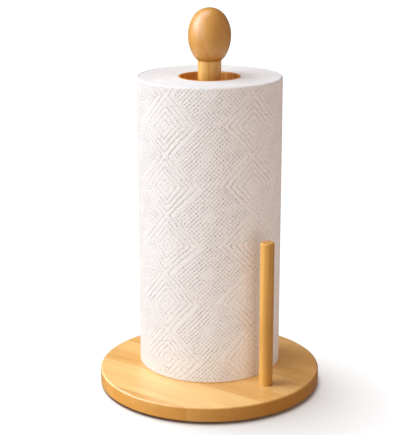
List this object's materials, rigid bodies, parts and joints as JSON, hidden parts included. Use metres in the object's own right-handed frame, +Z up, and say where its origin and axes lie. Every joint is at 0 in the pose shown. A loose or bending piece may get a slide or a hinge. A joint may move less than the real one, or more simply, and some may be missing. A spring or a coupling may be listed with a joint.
{
  "type": "paper towel holder",
  "caption": "Countertop paper towel holder: round base, upright post with an egg-shaped finial, short tear arm, and a roll of embossed kitchen paper that turns and lifts off.",
  "frame": {"origin": "centre of the round base at the worktop, under the foot pads; the post's axis is 15.5 mm behind it", "axes": "+Z up along the post, -Y towards the user, +X to the user's right"},
  "size_m": [0.18, 0.18, 0.3055],
  "materials": {
    "base_bamboo": "satin lacquer",
    "turned_bamboo": "satin lacquer",
    "pad_rubber": "matte",
    "insert_brass": "turned",
    "fastener_steel": "zinc plated",
    "core_board": "matte",
    "paper_white": "embossed, matte"
  },
  "bodies": {
    "stand": {"base_board": "base_bamboo", "foot_pad_1": "pad_rubber", "foot_pad_2": "pad_rubber", "foot_pad_3": "pad_rubber", "foot_pad_4": "pad_rubber", "post": "turned_bamboo", "post_insert": "insert_brass", "post_washer": "fastener_steel", "post_bolt": "fastener_steel", "finial_insert": "insert_brass", "tear_arm": "turned_bamboo", "arm_screw": "fastener_steel"},
    "stud": {"finial_stud": "fastener_steel"},
    "finial": {"finial": "turned_bamboo"},
    "core": {"roll_core": "core_board"},
    "paper": {"paper_roll": "paper_white"}
  },
  "joints": [
    {"name": "roll_lift", "type": "slide", "parent": "stand", "child": "core", "axis": [0, 0, 1], "range_m": [0, 0.3]},
    {"name": "roll_spin", "type": "hinge", "parent": "core", "child": "paper", "pos_m": [0, 0.0155, 0.1327], "axis": [0, 0, 1], "continuous": true},
    {"name": "finial_rise", "type": "slide", "parent": "stand", "child": "stud", "axis": [0, 0, 1], "range_m": [0, 0.0121]},
    {"name": "finial_turn", "type": "hinge", "parent": "stud", "child": "finial", "pos_m": [0, 0.0155, 0.2642], "axis": [0, 0, 1], "range_deg": [0, 4320]}
  ],
  "couplings": [
    {"joint": "finial_rise", "follows": "finial_turn", "m_per_rad": 0.00015915}
  ]
}
